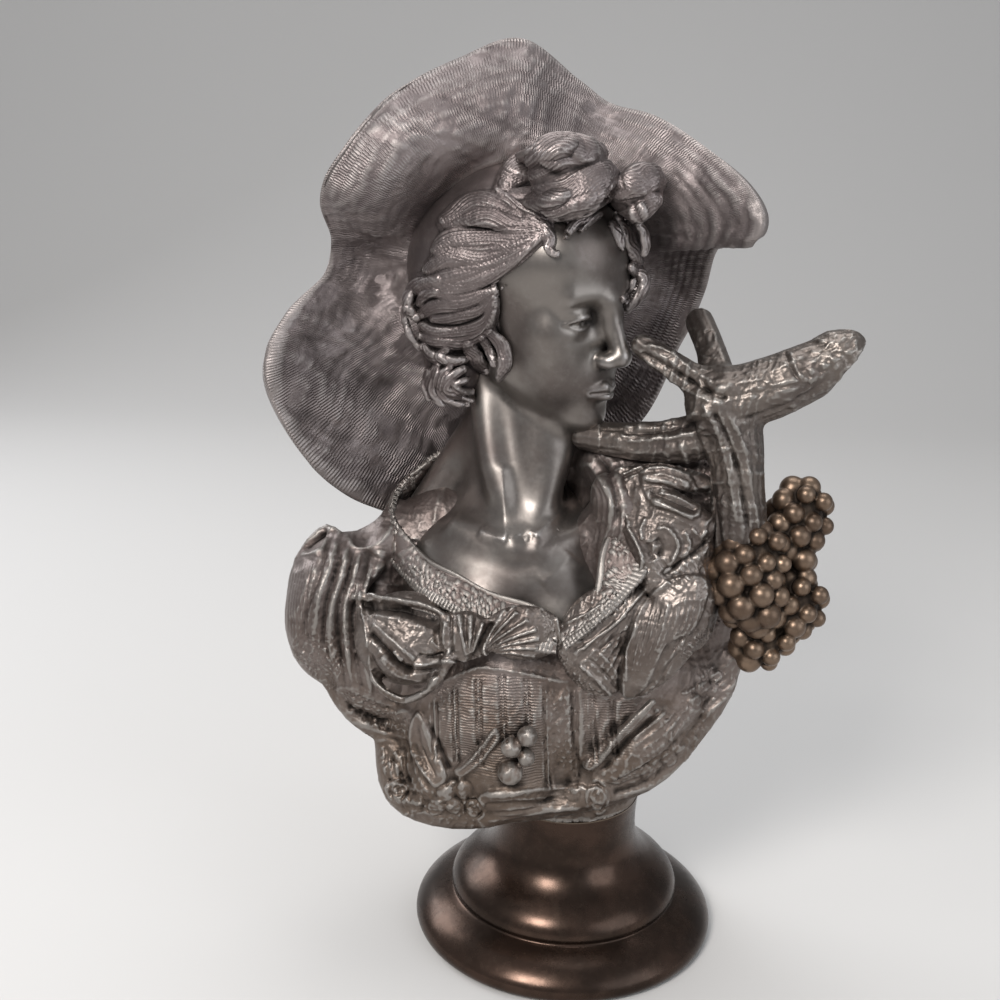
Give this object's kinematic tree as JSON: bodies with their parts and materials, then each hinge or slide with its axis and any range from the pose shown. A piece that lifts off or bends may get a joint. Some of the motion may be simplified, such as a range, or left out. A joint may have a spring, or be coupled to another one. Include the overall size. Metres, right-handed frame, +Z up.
{
  "type": "cast brass female bust on a turned socle",
  "caption": "Cast brass bust of a young woman in a floppy straw hat, with a vine stock and grapes on her shoulder, on a round turned socle.",
  "frame": {"origin": "centre of the socle's flat underside, on the surface that the bust stands on", "axes": "+Z up through the socle's axis to the hat, -Y the way the chest faces, +X her left, where the head is turned and the vine stands"},
  "size_m": [0.3635, 0.212, 0.6064],
  "materials": {
    "brass": "dark grey-brown patina over brass, rubbed bright on the high places",
    "dark_brass": "near-black brown patina, glossy, with a worn rim"
  },
  "bodies": {
    "root": {"bust": "brass", "socle": "dark_brass"}
  },
  "joints": []
}
